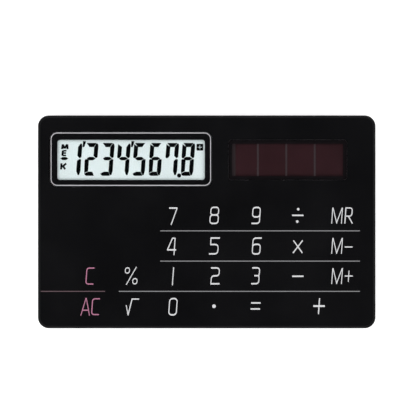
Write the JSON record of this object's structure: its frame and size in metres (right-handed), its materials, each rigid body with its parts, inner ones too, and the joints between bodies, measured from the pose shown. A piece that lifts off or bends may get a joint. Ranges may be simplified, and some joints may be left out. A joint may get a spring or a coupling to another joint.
{
  "type": "pocket calculator",
  "caption": "Thin card-size solar calculator: flat black face with a segment display, a solar window and a grid of flush press keys in a slim plastic case.",
  "frame": {"origin": "middle of the flat rear face, which the card lies on", "axes": "+X along the long side, +Y towards the display edge, +Z out of the face"},
  "size_m": [0.0856, 0.054, 0.0034],
  "materials": {
    "case_plastic": "fine moulded texture",
    "printed_film": "smooth film printed black on its back",
    "keycap_film": "the same film, bonded to a moulded keycap",
    "clear_window": "clear polished sheet",
    "smoked_window": "smoke tinted polished sheet",
    "plate_steel": "cold rolled",
    "screw_steel": "dark zinc",
    "adhesive_tape": "double sided tape",
    "dome_film": "thermoformed polyester",
    "board_laminate": "glass epoxy laminate with solder mask",
    "chip_epoxy": "cured epoxy",
    "capacitor_body": "fired",
    "display_glass": "polished",
    "polariser_film": "neutral polariser",
    "foam": "closed cell foam",
    "connector_foil": "heat seal connector",
    "solar_silicon": "amorphous silicon on glass",
    "lead_copper": "tinned copper strip"
  },
  "bodies": {
    "case": {"rear_cover": "case_plastic", "side_frame": "case_plastic", "front_plate": "plate_steel", "film_adhesive": "adhesive_tape", "face_film": "printed_film", "display_window": "clear_window", "solar_window": "smoked_window", "rear_screw_1": "screw_steel", "rear_screw_2": "screw_steel", "rear_screw_3": "screw_steel", "rear_screw_4": "screw_steel", "dome_sheet": "dome_film", "circuit_board": "board_laminate", "chip_epoxy_cap": "chip_epoxy", "storage_capacitor": "capacitor_body", "filter_capacitor": "capacitor_body", "clamp_diode": "chip_epoxy", "pull_up_resistor": "chip_epoxy", "display_rear_glass": "display_glass", "display_front_glass": "display_glass", "display_front_polariser": "polariser_film", "display_rear_polariser": "polariser_film", "display_foam_pad": "foam", "display_connector": "connector_foil", "display_gasket": "foam", "solar_cell": "solar_silicon", "solar_gasket": "foam", "solar_lead_positive": "lead_copper", "solar_lead_negative": "lead_copper"},
    "key_7": {"key_7": "keycap_film"},
    "key_8": {"key_8": "keycap_film"},
    "key_9": {"key_9": "keycap_film"},
    "key_divide": {"key_divide": "keycap_film"},
    "key_memory_recall": {"key_memory_recall": "keycap_film"},
    "key_4": {"key_4": "keycap_film"},
    "key_5": {"key_5": "keycap_film"},
    "key_6": {"key_6": "keycap_film"},
    "key_multiply": {"key_multiply": "keycap_film"},
    "key_memory_minus": {"key_memory_minus": "keycap_film"},
    "key_clear": {"key_clear": "keycap_film"},
    "key_percent": {"key_percent": "keycap_film"},
    "key_1": {"key_1": "keycap_film"},
    "key_2": {"key_2": "keycap_film"},
    "key_3": {"key_3": "keycap_film"},
    "key_minus": {"key_minus": "keycap_film"},
    "key_memory_plus": {"key_memory_plus": "keycap_film"},
    "key_all_clear": {"key_all_clear": "keycap_film"},
    "key_square_root": {"key_square_root": "keycap_film"},
    "key_0": {"key_0": "keycap_film"},
    "key_point": {"key_point": "keycap_film"},
    "key_equals": {"key_equals": "keycap_film"},
    "key_plus": {"key_plus": "keycap_film"}
  },
  "joints": [
    {"name": "key_7_press", "type": "slide", "parent": "case", "child": "key_7", "axis": [0, 0, -1], "range_m": [0, 0.00025], "stiffness_N_per_m": 2000, "springref_m": -0.0001, "deforming": ["dome_sheet"]},
    {"name": "key_8_press", "type": "slide", "parent": "case", "child": "key_8", "axis": [0, 0, -1], "range_m": [0, 0.00025], "stiffness_N_per_m": 2000, "springref_m": -0.0001, "deforming": ["dome_sheet"]},
    {"name": "key_9_press", "type": "slide", "parent": "case", "child": "key_9", "axis": [0, 0, -1], "range_m": [0, 0.00025], "stiffness_N_per_m": 2000, "springref_m": -0.0001, "deforming": ["dome_sheet"]},
    {"name": "key_divide_press", "type": "slide", "parent": "case", "child": "key_divide", "axis": [0, 0, -1], "range_m": [0, 0.00025], "stiffness_N_per_m": 2000, "springref_m": -0.0001, "deforming": ["dome_sheet"]},
    {"name": "key_memory_recall_press", "type": "slide", "parent": "case", "child": "key_memory_recall", "axis": [0, 0, -1], "range_m": [0, 0.00025], "stiffness_N_per_m": 2000, "springref_m": -0.0001, "deforming": ["dome_sheet"]},
    {"name": "key_4_press", "type": "slide", "parent": "case", "child": "key_4", "axis": [0, 0, -1], "range_m": [0, 0.00025], "stiffness_N_per_m": 2000, "springref_m": -0.0001, "deforming": ["dome_sheet"]},
    {"name": "key_5_press", "type": "slide", "parent": "case", "child": "key_5", "axis": [0, 0, -1], "range_m": [0, 0.00025], "stiffness_N_per_m": 2000, "springref_m": -0.0001, "deforming": ["dome_sheet"]},
    {"name": "key_6_press", "type": "slide", "parent": "case", "child": "key_6", "axis": [0, 0, -1], "range_m": [0, 0.00025], "stiffness_N_per_m": 2000, "springref_m": -0.0001, "deforming": ["dome_sheet"]},
    {"name": "key_multiply_press", "type": "slide", "parent": "case", "child": "key_multiply", "axis": [0, 0, -1], "range_m": [0, 0.00025], "stiffness_N_per_m": 2000, "springref_m": -0.0001, "deforming": ["dome_sheet"]},
    {"name": "key_memory_minus_press", "type": "slide", "parent": "case", "child": "key_memory_minus", "axis": [0, 0, -1], "range_m": [0, 0.00025], "stiffness_N_per_m": 2000, "springref_m": -0.0001, "deforming": ["dome_sheet"]},
    {"name": "key_clear_press", "type": "slide", "parent": "case", "child": "key_clear", "axis": [0, 0, -1], "range_m": [0, 0.00025], "stiffness_N_per_m": 2000, "springref_m": -0.0001, "deforming": ["dome_sheet"]},
    {"name": "key_percent_press", "type": "slide", "parent": "case", "child": "key_percent", "axis": [0, 0, -1], "range_m": [0, 0.00025], "stiffness_N_per_m": 2000, "springref_m": -0.0001, "deforming": ["dome_sheet"]},
    {"name": "key_1_press", "type": "slide", "parent": "case", "child": "key_1", "axis": [0, 0, -1], "range_m": [0, 0.00025], "stiffness_N_per_m": 2000, "springref_m": -0.0001, "deforming": ["dome_sheet"]},
    {"name": "key_2_press", "type": "slide", "parent": "case", "child": "key_2", "axis": [0, 0, -1], "range_m": [0, 0.00025], "stiffness_N_per_m": 2000, "springref_m": -0.0001, "deforming": ["dome_sheet"]},
    {"name": "key_3_press", "type": "slide", "parent": "case", "child": "key_3", "axis": [0, 0, -1], "range_m": [0, 0.00025], "stiffness_N_per_m": 2000, "springref_m": -0.0001, "deforming": ["dome_sheet"]},
    {"name": "key_minus_press", "type": "slide", "parent": "case", "child": "key_minus", "axis": [0, 0, -1], "range_m": [0, 0.00025], "stiffness_N_per_m": 2000, "springref_m": -0.0001, "deforming": ["dome_sheet"]},
    {"name": "key_memory_plus_press", "type": "slide", "parent": "case", "child": "key_memory_plus", "axis": [0, 0, -1], "range_m": [0, 0.00025], "stiffness_N_per_m": 2000, "springref_m": -0.0001, "deforming": ["dome_sheet"]},
    {"name": "key_all_clear_press", "type": "slide", "parent": "case", "child": "key_all_clear", "axis": [0, 0, -1], "range_m": [0, 0.00025], "stiffness_N_per_m": 2000, "springref_m": -0.0001, "deforming": ["dome_sheet"]},
    {"name": "key_square_root_press", "type": "slide", "parent": "case", "child": "key_square_root", "axis": [0, 0, -1], "range_m": [0, 0.00025], "stiffness_N_per_m": 2000, "springref_m": -0.0001, "deforming": ["dome_sheet"]},
    {"name": "key_0_press", "type": "slide", "parent": "case", "child": "key_0", "axis": [0, 0, -1], "range_m": [0, 0.00025], "stiffness_N_per_m": 2000, "springref_m": -0.0001, "deforming": ["dome_sheet"]},
    {"name": "key_point_press", "type": "slide", "parent": "case", "child": "key_point", "axis": [0, 0, -1], "range_m": [0, 0.00025], "stiffness_N_per_m": 2000, "springref_m": -0.0001, "deforming": ["dome_sheet"]},
    {"name": "key_equals_press", "type": "slide", "parent": "case", "child": "key_equals", "axis": [0, 0, -1], "range_m": [0, 0.00025], "stiffness_N_per_m": 2000, "springref_m": -0.0001, "deforming": ["dome_sheet"]},
    {"name": "key_plus_press", "type": "slide", "parent": "case", "child": "key_plus", "axis": [0, 0, -1], "range_m": [0, 0.00025], "stiffness_N_per_m": 2000, "springref_m": -0.0001, "deforming": ["dome_sheet"]}
  ]
}
